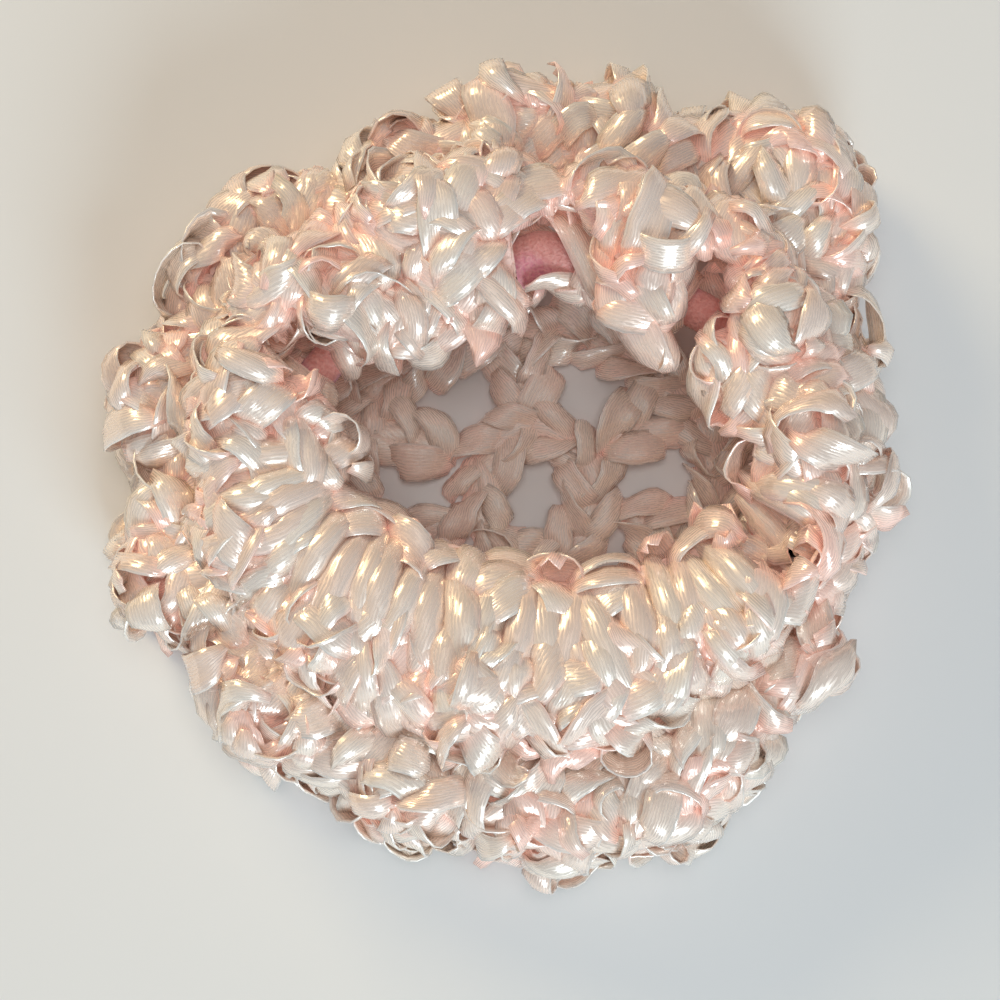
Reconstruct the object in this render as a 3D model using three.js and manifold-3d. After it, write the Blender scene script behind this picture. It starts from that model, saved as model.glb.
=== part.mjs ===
// A crochet hair snood of satin ribbon, lying on a flat surface with its mouth up.
// A net bag holds a hair bun. A covered elastic runs round the mouth inside a round of
// stitches, and two tiers of ruffle stand round it. Millimetres, +Z up. The origin is on the
// flat surface, under the middle of the outline.
import * as THREE from "three";
import { ParametricGeometry } from "three/addons/geometries/ParametricGeometry.js";
import { mergeVertices } from "three/addons/utils/BufferGeometryUtils.js";
import Module from "manifold-3d";

const wasm = await Module();
wasm.setup();

// The outline of the ruffle.
const HEM_RADIUS = 53;

// The oval mouth, as the elastic's centre line.
const MOUTH_HALF_WIDTH = 33.5;
const MOUTH_HALF_DEPTH = 23.5;
const MOUTH_X = 6;
const MOUTH_Y = 2.5;
const ELASTIC_HEIGHT = 18.5;
const ELASTIC_SWAY = 1.2;
const ELASTIC_RADIUS = 2.6;

// The round of stitches that holds the elastic.
const STITCH_WALL = 3;
const STITCH_COUNT = 32;
const STITCH_DEPTH = 0.7;

// The ruffle. The inner tier's breadth is a share of the way from the mouth round to the hem.
const INNER_CREST = 34.5;
const OUTER_CREST = 24.5;
const INNER_BREADTH = 0.52;
const OUTER_CREASE = 0.22;
const INNER_CREASE = 0.32;
const PLEAT_DEPTH = 1.1;
const PLEAT_COUNT = 36;

// The net bag. Its bulge is a share of the way from the elastic to the hem.
const NET_WALL = 3;
const NET_BULGE = 0.26;
const NET_SHOULDER_HEIGHT = 9;
const HUB_X = 4.8;
const HUB_Y = -2.5;
const HUB_HOLE_HALF_WIDTH = 4.6;
const HUB_HOLE_HALF_LENGTH = 6.2;
const SIDE_HOLES = 12;
const SIDE_HOLE_WIDTH = 7;
const SIDE_HOLE_HEIGHT = 4;

// The net's flat floor ends at these shares of the way from the hub to the shoulder.
const FLOOR_UNDERSIDE = 0.9;
const FLOOR_TOP = 0.86;

// The gap between pieces that touch, and the room between the net and the ruffle round it.
const CLEARANCE = 0.3;
const NET_ROOM = 1;

// Folds of the outer tier: where each stands, its half width, how far it reaches as a share of
// the ruffle's calm width there, and how high it stands as a share of the crest.
const OUTER_FOLDS = [
  { at: 12, half: 14, reach: 0.98, lift: 0.94 },
  { at: 41, half: 16, reach: 1.6, lift: 1.0 },
  { at: 66, half: 13, reach: 1.19, lift: 0.96 },
  { at: 86, half: 12, reach: 1.1, lift: 1.0 },
  { at: 105, half: 11, reach: 0.93, lift: 0.93 },
  { at: 138, half: 17, reach: 1.05, lift: 0.97 },
  { at: 167, half: 15, reach: 1.07, lift: 0.92 },
  { at: 198, half: 14, reach: 1.11, lift: 0.95 },
  { at: 226, half: 17, reach: 1.01, lift: 1.0 },
  { at: 253, half: 12, reach: 1.02, lift: 0.94 },
  { at: 278, half: 15, reach: 1.07, lift: 0.98 },
  { at: 301, half: 14, reach: 1.18, lift: 1.0 },
  { at: 327, half: 15, reach: 1.05, lift: 0.95 },
  { at: 353, half: 12, reach: 1.08, lift: 0.92 },
];

// Folds of the inner tier, with how far each hangs over the mouth as a share of the stitch wall.
const INNER_FOLDS = [
  { at: 6, half: 17, reach: 1.0, lift: 0.94, overhang: 0.1 },
  { at: 36, half: 16, reach: 1.05, lift: 1.0, overhang: 1.2 },
  { at: 66, half: 15, reach: 0.96, lift: 0.97, overhang: 1.6 },
  { at: 107, half: 17, reach: 1.02, lift: 1.0, overhang: 1.5 },
  { at: 138, half: 15, reach: 1.05, lift: 0.98, overhang: 0.9 },
  { at: 168, half: 16, reach: 0.97, lift: 0.95, overhang: 0.2 },
  { at: 198, half: 16, reach: 1.03, lift: 0.93, overhang: 0.1 },
  { at: 229, half: 17, reach: 0.98, lift: 0.9, overhang: 0.6 },
  { at: 259, half: 15, reach: 1.0, lift: 0.88, overhang: 0.7 },
  { at: 287, half: 16, reach: 1.04, lift: 0.92, overhang: 0.6 },
  { at: 316, half: 15, reach: 0.98, lift: 0.93, overhang: 0.5 },
  { at: 345, half: 12, reach: 1.02, lift: 0.9, overhang: 0.2 },
];

// The tiers' sections above their seats, from the hem up, over the crest and back. Out is a
// share of a tier's reach, or below 0 of its overhang. Up is a share of the way to its crest.
const OUTER_SECTION = [
  { out: 0.93, up: 0 },
  { out: 1, up: 0.18 },
  { out: 1, up: 0.38 },
  { out: 0.91, up: 0.82 },
  { out: 0.74, up: 1 },
  { out: 0.54, up: 0.93 },
];
const INNER_SECTION = [
  { out: 1, up: 0.35 },
  { out: 0.8, up: 0.86 },
  { out: 0.42, up: 1 },
  { out: -0.2, up: 0.86 },
  { out: -0.8, up: 0.42 },
  { out: -1, up: 0.05 },
];

// The slope where the inner tier lies on the outer one: its ends, as shares of the way from the
// mouth round to the hem, and how high, as shares of the stitches' radius and of the crest. The
// foot is where the outer tier leaves the mouth round below, as a share of the same radius.
const SEAT = { start: 0.1, end: 0.43, drop: 0.2, lift: 0.86, foot: 0.75 };

// Gaps between stitches where the elastic shows: where each is, and its width in stitches at
// the mouth. The taper is what is left of that width at the outer end.
const GAP_TAPER = 0.7;
const ELASTIC_GAPS = [
  { at: 53, stitches: 1.0 },
  { at: 86, stitches: 1.6 },
  { at: 153, stitches: 1.2 },
  { at: 331, stitches: 1.2 },
];

// Rounds of holes in the net, from the hub out: how many, where they start and end as a share
// of the way from the hub to the shoulder, how wide the strand between two of them is, and
// the angle of the first.
const NET_ROUNDS = [
  { holes: 6, from: 0.36, to: 0.6, strand: 5.5, first: 5 },
  { holes: 12, from: 0.74, to: 0.94, strand: 5, first: 20 },
];

// How finely the rounds are faceted.
const STITCH_STEPS = 3 * STITCH_COUNT;
const PLEAT_STEPS = 3 * PLEAT_COUNT;
const SMOOTH_STEPS = 72;
const ELASTIC_SIDES = 8;

const angleOf = (degrees) => THREE.MathUtils.degToRad(degrees);
const mix = THREE.MathUtils.lerp;

// The share, 0 to 1, that a fold has at an angle: a round hump that ends in a crease.
function humpOf(fold, degrees) {
  const away = Math.abs(THREE.MathUtils.euclideanModulo(degrees - fold.at + 180, 360) - 180);
  return Math.sqrt(Math.max(0, 1 - (away / fold.half) ** 2));
}

// One column of a table of folds, at an angle: the tallest hump there, or the crease between.
function foldedValue(folds, column, crease, degrees) {
  let value = 1 - crease;
  for (const fold of folds) {
    const hump = humpOf(fold, degrees);
    if (hump > 0) value = Math.max(value, fold[column] * mix(1 - crease, 1, hump));
  }
  return value;
}

const pleatAt = (angle) => PLEAT_DEPTH * Math.abs(Math.sin((PLEAT_COUNT * angle) / 2));

// A place round the mouth: the elastic's centre, the way out to the hem, and how far it is.
function spokeAt(angle) {
  const degrees = THREE.MathUtils.radToDeg(angle);
  const centre = new THREE.Vector2(
    MOUTH_X + MOUTH_HALF_WIDTH * Math.cos(angle),
    MOUTH_Y + MOUTH_HALF_DEPTH * Math.sin(angle),
  );
  const calm = new THREE.Vector2(Math.cos(angle), Math.sin(angle)).multiplyScalar(HEM_RADIUS);
  const outward = calm.clone().sub(centre);
  const width = outward.length();
  outward.divideScalar(width);
  return {
    degrees,
    centre,
    outward,
    width,
    hem: width * foldedValue(OUTER_FOLDS, "reach", OUTER_CREASE, degrees),
    height: ELASTIC_HEIGHT + ELASTIC_SWAY * Math.sin(2 * angle),
  };
}

const placeOf = (spoke, out, z) =>
  new THREE.Vector3(
    spoke.centre.x + spoke.outward.x * out,
    spoke.centre.y + spoke.outward.y * out,
    z,
  );

// A closed ring: sectionAt(angle) gives the same number of points at each angle, in order
// from below, out, up and back over the top.
function ringGeometry(steps, sectionAt) {
  const sections = [];
  for (let i = 0; i < steps; i++) sections.push(sectionAt((i / steps) * 2 * Math.PI));
  const corners = sections[0].length;
  const surface = (u, v, target) => {
    const section = sections[Math.round(v * steps) % steps];
    target.copy(section[(corners - Math.round(u * corners)) % corners]);
  };
  return new ParametricGeometry(surface, corners, steps);
}

// Points on an arc round the elastic, from one angle to another.
function arcRound(spoke, radius, from, to, count) {
  const step = angleOf(to - from) / (count - 1);
  const points = [];
  for (let i = 0; i < count; i++) {
    const a = angleOf(from) + i * step;
    points.push(placeOf(spoke, radius * Math.cos(a), spoke.height + radius * Math.sin(a)));
  }
  return points;
}

// The radius at which the sides of such an arc, and not its corners, clear a round body.
const clearRadius = (radius, sweep, count) => radius / Math.cos(angleOf(sweep / (count - 1) / 2));

function solidOf(geometry) {
  const bare = geometry.clone();
  bare.deleteAttribute("normal");
  bare.deleteAttribute("uv");
  const merged = mergeVertices(bare.index ? bare.toNonIndexed() : bare, 1e-3);
  return new wasm.Manifold(
    new wasm.Mesh({
      numProp: 3,
      vertProperties: merged.attributes.position.array,
      triVerts: new Uint32Array(merged.index.array),
    }),
  );
}

function geometryOf(solid) {
  const mesh = solid.getMesh();
  const position = new THREE.BufferAttribute(new Float32Array(mesh.vertProperties), 3);
  const geometry = new THREE.BufferGeometry().setAttribute("position", position);
  return geometry.setIndex(new THREE.BufferAttribute(new Uint32Array(mesh.triVerts), 1));
}

function cutAll(geometry, cutters) {
  let solid = solidOf(geometry);
  for (const cutter of cutters) solid = solid.subtract(solidOf(cutter));
  return geometryOf(solid);
}

// The elastic: a round cord in a closed oval.
function elasticGeometry() {
  return ringGeometry(SMOOTH_STEPS, (angle) =>
    arcRound(spokeAt(angle), ELASTIC_RADIUS, 0, 360 - 360 / ELASTIC_SIDES, ELASTIC_SIDES),
  );
}

const elasticRoom = ELASTIC_RADIUS + CLEARANCE;
const stitchRadius = elasticRoom + STITCH_WALL;
const stitchRoom = stitchRadius + CLEARANCE;

// Half of the slot under the mouth round, where the net's rim goes in.
const slotHalfAngle = THREE.MathUtils.radToDeg(Math.asin((NET_WALL / 2 + CLEARANCE) / elasticRoom));

// A block over the elastic at a gap, narrower at its outer end, up to a height.
function gapBlock(gap, from, to, top) {
  const spoke = spokeAt(angleOf(gap.at));
  const pitch = (Math.PI * (MOUTH_HALF_WIDTH + MOUTH_HALF_DEPTH)) / STITCH_COUNT;
  const half = (gap.stitches * pitch) / 2;
  const outline = new THREE.Shape([
    new THREE.Vector2(from, -half),
    new THREE.Vector2(to, -half * GAP_TAPER),
    new THREE.Vector2(to, half * GAP_TAPER),
    new THREE.Vector2(from, half),
  ]);
  const depth = top - spoke.height;
  const block = new THREE.ExtrudeGeometry(outline, { depth, bevelEnabled: false });
  block.rotateZ(Math.atan2(spoke.outward.y, spoke.outward.x));
  return block.translate(spoke.centre.x, spoke.centre.y, spoke.height);
}

// The mouth round: stitches over the elastic, open below, where the net's rim goes in.
function mouthRoundGeometry() {
  const insideSteps = 5;
  const outsideSteps = 7;
  const from = slotHalfAngle - 90;
  const to = 270 - slotHalfAngle;
  const insideRadius = clearRadius(elasticRoom, to - from, insideSteps);
  const ring = ringGeometry(STITCH_STEPS, (angle) => {
    const spoke = spokeAt(angle);
    const bulge = STITCH_DEPTH * (Math.abs(Math.sin((STITCH_COUNT * angle) / 2)) - 1);
    return [
      ...arcRound(spoke, stitchRadius + bulge, from, to, outsideSteps),
      ...arcRound(spoke, insideRadius, from, to, insideSteps).reverse(),
    ];
  });
  const [near, far] = [-2 * stitchRoom, 2 * stitchRoom];
  return cutAll(
    ring,
    ELASTIC_GAPS.map((gap) => gapBlock(gap, near, far, INNER_CREST)),
  );
}

// How far out the ruffle stands: 0 at the mouth round, 1 at the calm hem.
const outAt = (spoke, share) => mix(stitchRoom, spoke.width, share);

// The two ends of the slope between the tiers, a clearance above the outer one.
const seatStart = (spoke, above) =>
  placeOf(spoke, outAt(spoke, SEAT.start), spoke.height - stitchRadius * SEAT.drop + above);
const seatEnd = (spoke, above) =>
  placeOf(spoke, outAt(spoke, SEAT.end), OUTER_CREST * SEAT.lift + above);

function innerTierGeometry() {
  const arcSteps = 5;
  const [arcFrom, arcTo] = [150, -10];
  const ring = ringGeometry(PLEAT_STEPS, (angle) => {
    const spoke = spokeAt(angle);
    const reach = foldedValue(INNER_FOLDS, "reach", INNER_CREASE, spoke.degrees);
    const lift = foldedValue(INNER_FOLDS, "lift", INNER_CREASE, spoke.degrees);
    const lip = STITCH_WALL * foldedValue(INNER_FOLDS, "overhang", 1, spoke.degrees);
    const seat = seatEnd(spoke, CLEARANCE);
    const crest = mix(spoke.height + stitchRadius, INNER_CREST, lift) - pleatAt(angle);
    const out = outAt(spoke, INNER_BREADTH * reach) - pleatAt(angle);
    const under = clearRadius(stitchRoom, arcFrom - arcTo, arcSteps);
    return [
      ...arcRound(spoke, under, arcFrom, arcTo, arcSteps),
      seatStart(spoke, CLEARANCE),
      seat,
      ...INNER_SECTION.map((row) => {
        const span = row.out > 0 ? out : stitchRoom + lip;
        return placeOf(spoke, row.out * span, mix(seat.z, crest, row.up));
      }),
    ];
  });
  const [near, far] = [-3 * stitchRoom, stitchRadius];
  return cutAll(
    ring,
    ELASTIC_GAPS.map((gap) => gapBlock(gap, near, far, 2 * INNER_CREST)),
  );
}

// How far the net stands out under the mouth round, from the elastic's centre line.
const bulgeOf = (spoke) => NET_BULGE * spoke.width;

function outerTierGeometry() {
  return ringGeometry(PLEAT_STEPS, (angle) => {
    const spoke = spokeAt(angle);
    const hem = spoke.hem - pleatAt(angle);
    const crest = OUTER_CREST * foldedValue(OUTER_FOLDS, "lift", OUTER_CREASE, spoke.degrees);
    const inside = bulgeOf(spoke) + NET_ROOM;
    return [
      seatStart(spoke, 0),
      placeOf(spoke, stitchRoom, spoke.height - stitchRadius * SEAT.foot),
      placeOf(spoke, inside, NET_SHOULDER_HEIGHT),
      placeOf(spoke, inside, 0),
      ...OUTER_SECTION.map((row) =>
        placeOf(spoke, mix(stitchRoom, hem, row.out), row.up * crest),
      ),
      seatEnd(spoke, 0),
    ];
  });
}

// A place on the net's flat floor: a share of the way from the hub to the shoulder.
function floorPlace(angle, share, z) {
  const spoke = spokeAt(angle);
  const shoulder = placeOf(spoke, bulgeOf(spoke), z);
  return new THREE.Vector3(HUB_X, HUB_Y, z).lerp(shoulder, share);
}

const hubEdge = (angle, z) =>
  new THREE.Vector3(
    HUB_X + HUB_HOLE_HALF_WIDTH * Math.cos(angle),
    HUB_Y + HUB_HOLE_HALF_LENGTH * Math.sin(angle),
    z,
  );

function netRing() {
  return ringGeometry(SMOOTH_STEPS, (angle) => {
    const spoke = spokeAt(angle);
    const bulge = bulgeOf(spoke);
    const rim = spoke.height - elasticRoom;
    const half = NET_WALL / 2;
    return [
      hubEdge(angle, 0),
      floorPlace(angle, FLOOR_UNDERSIDE, 0),
      placeOf(spoke, bulge, NET_WALL),
      placeOf(spoke, bulge, NET_SHOULDER_HEIGHT),
      placeOf(spoke, half, rim),
      placeOf(spoke, -half, rim),
      placeOf(spoke, bulge - NET_WALL, NET_SHOULDER_HEIGHT - NET_WALL / 3),
      placeOf(spoke, bulge - NET_WALL, 1.5 * NET_WALL),
      floorPlace(angle, FLOOR_TOP, NET_WALL),
      hubEdge(angle, NET_WALL),
    ];
  });
}

// A hole in the net's floor: a block with its inner and outer edges across the spoke.
function floorHole(round, index) {
  const middle = angleOf(round.first + (index * 360) / round.holes);
  const share = (round.from + round.to) / 2;
  const reachAt = (s) => floorPlace(middle, s, 0).distanceTo(new THREE.Vector3(HUB_X, HUB_Y, 0));
  const halfAt = (s) => reachAt(s) * Math.tan(Math.PI / round.holes) - round.strand / 2;
  const [near, far] = [reachAt(round.from), reachAt(round.to)];
  const corner = (far - near) / 4;
  const outline = new THREE.Shape([
    new THREE.Vector2(near, -halfAt(round.from) + corner),
    new THREE.Vector2(near + corner, -halfAt(round.from)),
    new THREE.Vector2(far - corner, -halfAt(round.to) + corner / 2),
    new THREE.Vector2(far, -halfAt(round.to) + 2 * corner),
    new THREE.Vector2(far, halfAt(round.to) - 2 * corner),
    new THREE.Vector2(far - corner, halfAt(round.to) - corner / 2),
    new THREE.Vector2(near + corner, halfAt(round.from)),
    new THREE.Vector2(near, halfAt(round.from) - corner),
  ]);
  const block = new THREE.ExtrudeGeometry(outline, { depth: 3 * NET_WALL, bevelEnabled: false });
  const place = floorPlace(middle, share, 0);
  block.rotateZ(Math.atan2(place.y - HUB_Y, place.x - HUB_X));
  return block.translate(HUB_X, HUB_Y, -NET_WALL);
}

// A hole in the net's side, between the shoulder and the floor.
function sideHole(index) {
  const spoke = spokeAt(angleOf(((index + 0.5) * 360) / SIDE_HOLES));
  const block = new THREE.BoxGeometry(3 * NET_WALL, SIDE_HOLE_WIDTH, SIDE_HOLE_HEIGHT);
  block.rotateZ(Math.atan2(spoke.outward.y, spoke.outward.x));
  const z = (NET_WALL + NET_SHOULDER_HEIGHT) / 2;
  const place = placeOf(spoke, bulgeOf(spoke) - NET_WALL / 2, z);
  return block.translate(place.x, place.y, place.z);
}

function netBagGeometry() {
  const cutters = [];
  for (const round of NET_ROUNDS)
    for (let i = 0; i < round.holes; i++) cutters.push(floorHole(round, i));
  for (let i = 0; i < SIDE_HOLES; i++) cutters.push(sideHole(i));
  return cutAll(netRing(), cutters);
}

const palePinkRibbon = new THREE.MeshStandardMaterial({
  color: new THREE.Color(0.93, 0.77, 0.73),
  roughness: 0.38,
  metalness: 0,
});
const pinkElastic = new THREE.MeshStandardMaterial({
  color: new THREE.Color(0.9, 0.52, 0.56),
  roughness: 0.75,
  metalness: 0,
});

const snood = new THREE.Group();
function addPiece(name, geometry, material) {
  const piece = new THREE.Mesh(geometry, material);
  piece.name = name;
  snood.add(piece);
}
addPiece("net_bag", netBagGeometry(), palePinkRibbon);
addPiece("elastic_band", elasticGeometry(), pinkElastic);
addPiece("mouth_round", mouthRoundGeometry(), palePinkRibbon);
addPiece("inner_ruffle", innerTierGeometry(), palePinkRibbon);
addPiece("outer_ruffle", outerTierGeometry(), palePinkRibbon);

// The origin stands on the flat surface, under the middle of the outline.
const outline = new THREE.Box3().setFromObject(snood);
const middle = outline.getCenter(new THREE.Vector3());
snood.position.set(-middle.x, -middle.y, -outline.min.z);

export default snood;
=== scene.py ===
"""A crochet hair snood of pale blush satin ribbon, lying with its mouth up."""

import math
import random

import bmesh
import bpy
from mathutils import Matrix, Vector, kdtree, noise
from mathutils.bvhtree import BVHTree


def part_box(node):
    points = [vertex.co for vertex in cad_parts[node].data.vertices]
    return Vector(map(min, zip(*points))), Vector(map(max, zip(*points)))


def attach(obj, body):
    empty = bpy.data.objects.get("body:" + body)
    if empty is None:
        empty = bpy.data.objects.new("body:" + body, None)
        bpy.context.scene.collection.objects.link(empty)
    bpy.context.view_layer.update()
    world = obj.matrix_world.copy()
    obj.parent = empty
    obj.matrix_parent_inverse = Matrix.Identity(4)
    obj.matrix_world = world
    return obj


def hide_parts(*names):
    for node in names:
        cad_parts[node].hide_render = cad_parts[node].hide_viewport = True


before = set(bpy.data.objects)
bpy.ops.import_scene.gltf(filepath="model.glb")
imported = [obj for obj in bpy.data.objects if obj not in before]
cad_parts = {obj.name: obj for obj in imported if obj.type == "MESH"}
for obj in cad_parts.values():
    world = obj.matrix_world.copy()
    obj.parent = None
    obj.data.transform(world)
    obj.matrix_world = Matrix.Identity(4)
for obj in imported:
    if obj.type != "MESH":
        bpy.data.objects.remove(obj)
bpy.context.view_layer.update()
MM = 0.001

# The studio: a warm soft light stands behind the snood to the left, and a cool one, as of a window,
# in front of it to the right. The ceiling lights it evenly and leaves no shine on the satin. The
# camera looks down from almost overhead.
CAMERA_ELEVATION = math.radians(84)
CAMERA_DISTANCE = 340 * MM
VIEW_WIDTH = 133.3 * MM
AIM = Vector((0.4, -4.95, 18)) * MM

camera_data = bpy.data.cameras.new("camera")
camera = bpy.data.objects.new("camera", camera_data)
bpy.context.scene.collection.objects.link(camera)
toward_camera = Vector((0, -math.cos(CAMERA_ELEVATION), math.sin(CAMERA_ELEVATION)))
camera.location = AIM + toward_camera * CAMERA_DISTANCE
camera.rotation_euler = (-toward_camera).to_track_quat("-Z", "Y").to_euler()
camera_data.lens = camera_data.sensor_width * CAMERA_DISTANCE / VIEW_WIDTH
camera_data.clip_start = 10 * MM
bpy.context.scene.camera = camera


def soft_light(name, place, size, power, colour, shines=True):
    data = bpy.data.lights.new(name, "AREA")
    data.shape = "DISK"
    data.size = size
    data.energy = power
    data.color = colour
    light = bpy.data.objects.new(name, data)
    bpy.context.scene.collection.objects.link(light)
    light.visible_glossy = shines
    light.location = place
    light.rotation_euler = (-Vector(place)).to_track_quat("-Z", "Y").to_euler()


COOL_WHITE = (0.72, 0.9, 1.0)
LAMP_YELLOW = (1.0, 0.8, 0.48)
WARM_WHITE = (1.0, 0.96, 0.93)
ROOM_WHITE = (0.98, 0.98, 1.0, 1)
ROOM_STRENGTH = 0.22
soft_light("window_light", place=(0.26, -0.82, 0.5), size=0.5, power=6.4, colour=COOL_WHITE)
soft_light("lamp_light", place=(-0.55, 0.6, 0.46), size=0.4, power=4.0, colour=LAMP_YELLOW)
soft_light("ceiling_light", place=(0.02, 0, 1.2), size=0.6, power=4.2, colour=WARM_WHITE, shines=False)

world = bpy.data.worlds.new("room")
world.use_nodes = True
background = world.node_tree.nodes["Background"]
background.inputs["Color"].default_value = ROOM_WHITE
background.inputs["Strength"].default_value = ROOM_STRENGTH
bpy.context.scene.world = world
bpy.context.scene.view_settings.view_transform = "Standard"


# The floor: a plain pale board under the snood, matt and without a pattern. It is part of the
# studio and not of the snood.
class Signal:
    """A shader socket that takes part in ordinary sums."""

    def __init__(self, tree, socket):
        self.tree = tree
        self.socket = socket

    def node(self, kind, settings=None, **links):
        """Adds a node with its settings; a link's name is the socket's, or its number after a _."""
        made = self.tree.nodes.new(kind)
        for key, value in (settings or {}).items():
            setattr(made, key, value)
        for key, value in links.items():
            name = int(key[1:]) if key[0] == "_" else key.replace("_", " ")
            into = made.inputs[name]
            if isinstance(value, Signal):
                self.tree.links.new(value.socket, into)
            else:
                into.default_value = value
        return made

    def out(self, made, name=0):
        return Signal(self.tree, made.outputs[name])

    def maths(self, operation, *values):
        links = {f"_{i}": value for i, value in enumerate(values)}
        return self.out(self.node("ShaderNodeMath", {"operation": operation}, **links))

    def __add__(self, other):
        return self.maths("ADD", self, other)

    def __radd__(self, other):
        return self.maths("ADD", other, self)

    def __sub__(self, other):
        return self.maths("SUBTRACT", self, other)

    def __rsub__(self, other):
        return self.maths("SUBTRACT", other, self)

    def __mul__(self, other):
        return self.maths("MULTIPLY", self, other)

    def __rmul__(self, other):
        return self.maths("MULTIPLY", other, self)

    def floor(self):
        return self.maths("FLOOR", self)

    def sine(self):
        return self.maths("SINE", self)

    def size(self):
        return self.maths("ABSOLUTE", self)

    def ease(self, low, high):
        """Goes smoothly from 0 at the low value to 1 at the high one."""
        settings = {"interpolation_type": "SMOOTHSTEP"}
        made = self.node("ShaderNodeMapRange", settings, Value=self, From_Min=low, From_Max=high)
        return self.out(made)

    def vector(self, x, y, z=0.0):
        return self.out(self.node("ShaderNodeCombineXYZ", None, X=x, Y=y, Z=z))

    def cloud(self, vector, scale, detail=2.0):
        made = self.node("ShaderNodeTexNoise", None, Vector=vector, Scale=scale, Detail=detail)
        return self.out(made)

    def blend(self, share, first, second):
        made = self.node("ShaderNodeMix", {"data_type": "RGBA"}, _0=share, _6=first, _7=second)
        return self.out(made, 2)


def new_material(name):
    material = bpy.data.materials.new(name)
    material.use_nodes = True
    tree = material.node_tree
    tree.nodes.clear()
    return material, tree


FLOOR_SIZE = 4
FLOOR_COLOUR = (0.74, 0.735, 0.725, 1)

bpy.ops.mesh.primitive_plane_add(size=FLOOR_SIZE)
floor = bpy.context.object
floor.name = "floor"
floor_material, tree = new_material("pale_floor")
here = Signal(tree, None)
paint = here.node("ShaderNodeBsdfPrincipled", None, Base_Color=FLOOR_COLOUR, Roughness=0.8)
here.node("ShaderNodeOutputMaterial", None, Surface=here.out(paint))
floor.data.materials.append(floor_material)


# The ribbon: 6 mm polyester satin with fine ribs along it and a painted highlight along its edges,
# pulled through itself in one long strip. Its UV goes across the width in U, and in V from one
# whole number to the next along each stitch. At the root of a stitch it is painted rosier and made
# to glow faintly: painted shade and painted glow for the light that passes through it there.
RIBS = 12
FIBRES = (24, 4)
DASHES = (17, 12)
EDGE_HIGHLIGHT_FROM = (0.84, 0.98)
EDGE_HIGHLIGHT_WHITE = (0.98, 0.97, 0.93, 1)
ROOT_SHADE_HEIGHTS = (-0.8, 2.4)
WEAVE_DEPTH = 0.16 * MM
BLACK = (0, 0, 0, 1)


def satin(name, pale, warm, shade_and_glow_rose, roughness=0.15):
    material, tree = new_material(name)
    here = Signal(tree, None)
    place = here.out(here.node("ShaderNodeUVMap", {"uv_map": "ribbon"}))
    parts = here.node("ShaderNodeSeparateXYZ", None, Vector=place)
    u, v = here.out(parts, 0), here.out(parts, 1)
    stitch = here.out(here.node("ShaderNodeTexWhiteNoise", {"noise_dimensions": "1D"}, W=v.floor()))
    ribs = (u * (RIBS * 2 * math.pi)).sine()
    own_place = stitch * 40
    fibres = here.cloud(here.vector(u * FIBRES[0], v * FIBRES[1], own_place), 1.0, 1.0)
    dashes = here.cloud(here.vector(u * DASHES[0], v * DASHES[1], own_place), 1.0, 1.0)
    streaks = (ribs * 0.17 + dashes).ease(0.38, 0.62)
    # Painted shade and painted glow: the nearer a point lies to its stitch's root, the rosier it is
    # painted and the more it glows.
    height = here.out(here.node("ShaderNodeAttribute", {"attribute_name": "height"}), 2)
    root = 1 - height.ease(*ROOT_SHADE_HEIGHTS)
    # Painted highlight: the ribbon's edges are painted near white, as if folded edges caught the light.
    edge_highlight = (u * 2 - 1).size().ease(*EDGE_HIGHLIGHT_FROM)
    cloth = here.blend((stitch * 0.7 + fibres * 0.45).ease(0.15, 0.95), pale, warm)
    cloth = here.blend(edge_highlight * 0.4, cloth, EDGE_HIGHLIGHT_WHITE)
    cloth = here.blend(root * 0.85, cloth, shade_and_glow_rose)
    weave = ribs * 0.12 + fibres * 0.35 + dashes * 1.2
    bump = here.node("ShaderNodeBump", None, Strength=0.27, Distance=WEAVE_DEPTH, Height=weave)
    front = here.node(
        "ShaderNodeBsdfPrincipled",
        None,
        Base_Color=cloth,
        Roughness=streaks * 0.25 + roughness,
        Metallic=0.3,
        Normal=here.out(bump),
        Specular_IOR_Level=1.0,
        Coat_Weight=1 - streaks * 0.85,
        Coat_Roughness=0.12,
        # Painted glow, from no lamp: a faint rose light at the roots, for light passing through the
        # ribbon.
        Emission_Color=here.blend(root, BLACK, shade_and_glow_rose),
        Emission_Strength=0.12,
    )
    here.node("ShaderNodeOutputMaterial", None, Surface=here.out(front))
    return material


# The rose colour is painted shade and painted glow at the roots of the stitches.
ruffle_satin = satin(
    "blush_satin", pale=(0.97, 0.85, 0.74, 1), warm=(0.97, 0.77, 0.66, 1), shade_and_glow_rose=(0.99, 0.65, 0.55, 1)
)

STEPS_ALONG = 10
STEPS_ACROSS = 4
RIBBON_THICKNESS = 0.22 * MM
CRUMPLE_SIZE = 2.4 * MM
CRUMPLE_SEED = 4
FRILL_WAVE = 3.5
UV_MARGIN = 0.05
FLOOR_PRESS = 1.6 * MM
LOWEST_SHARE = 0.12
CLEAR_OF_ROOTS = 6.0
ROOT_SINK = 2.0 * MM

noise.seed_set(CRUMPLE_SEED)
flat_ribbon = bmesh.new()
flat_ribbon.loops.layers.uv.new("ribbon")
flat_ribbon.verts.layers.float.new("height")
bmesh.ops.create_grid(
    flat_ribbon, x_segments=STEPS_ALONG, y_segments=STEPS_ACROSS, size=1, calc_uvs=True
)


def pressed(z):
    """The height of a point once the floor has pressed it up."""
    if z > FLOOR_PRESS:
        return z
    rest = 1 - LOWEST_SHARE
    return FLOOR_PRESS * (LOWEST_SHARE + rest * math.exp((z / FLOOR_PRESS - 1) / rest))


ribbon_pieces = []


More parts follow.
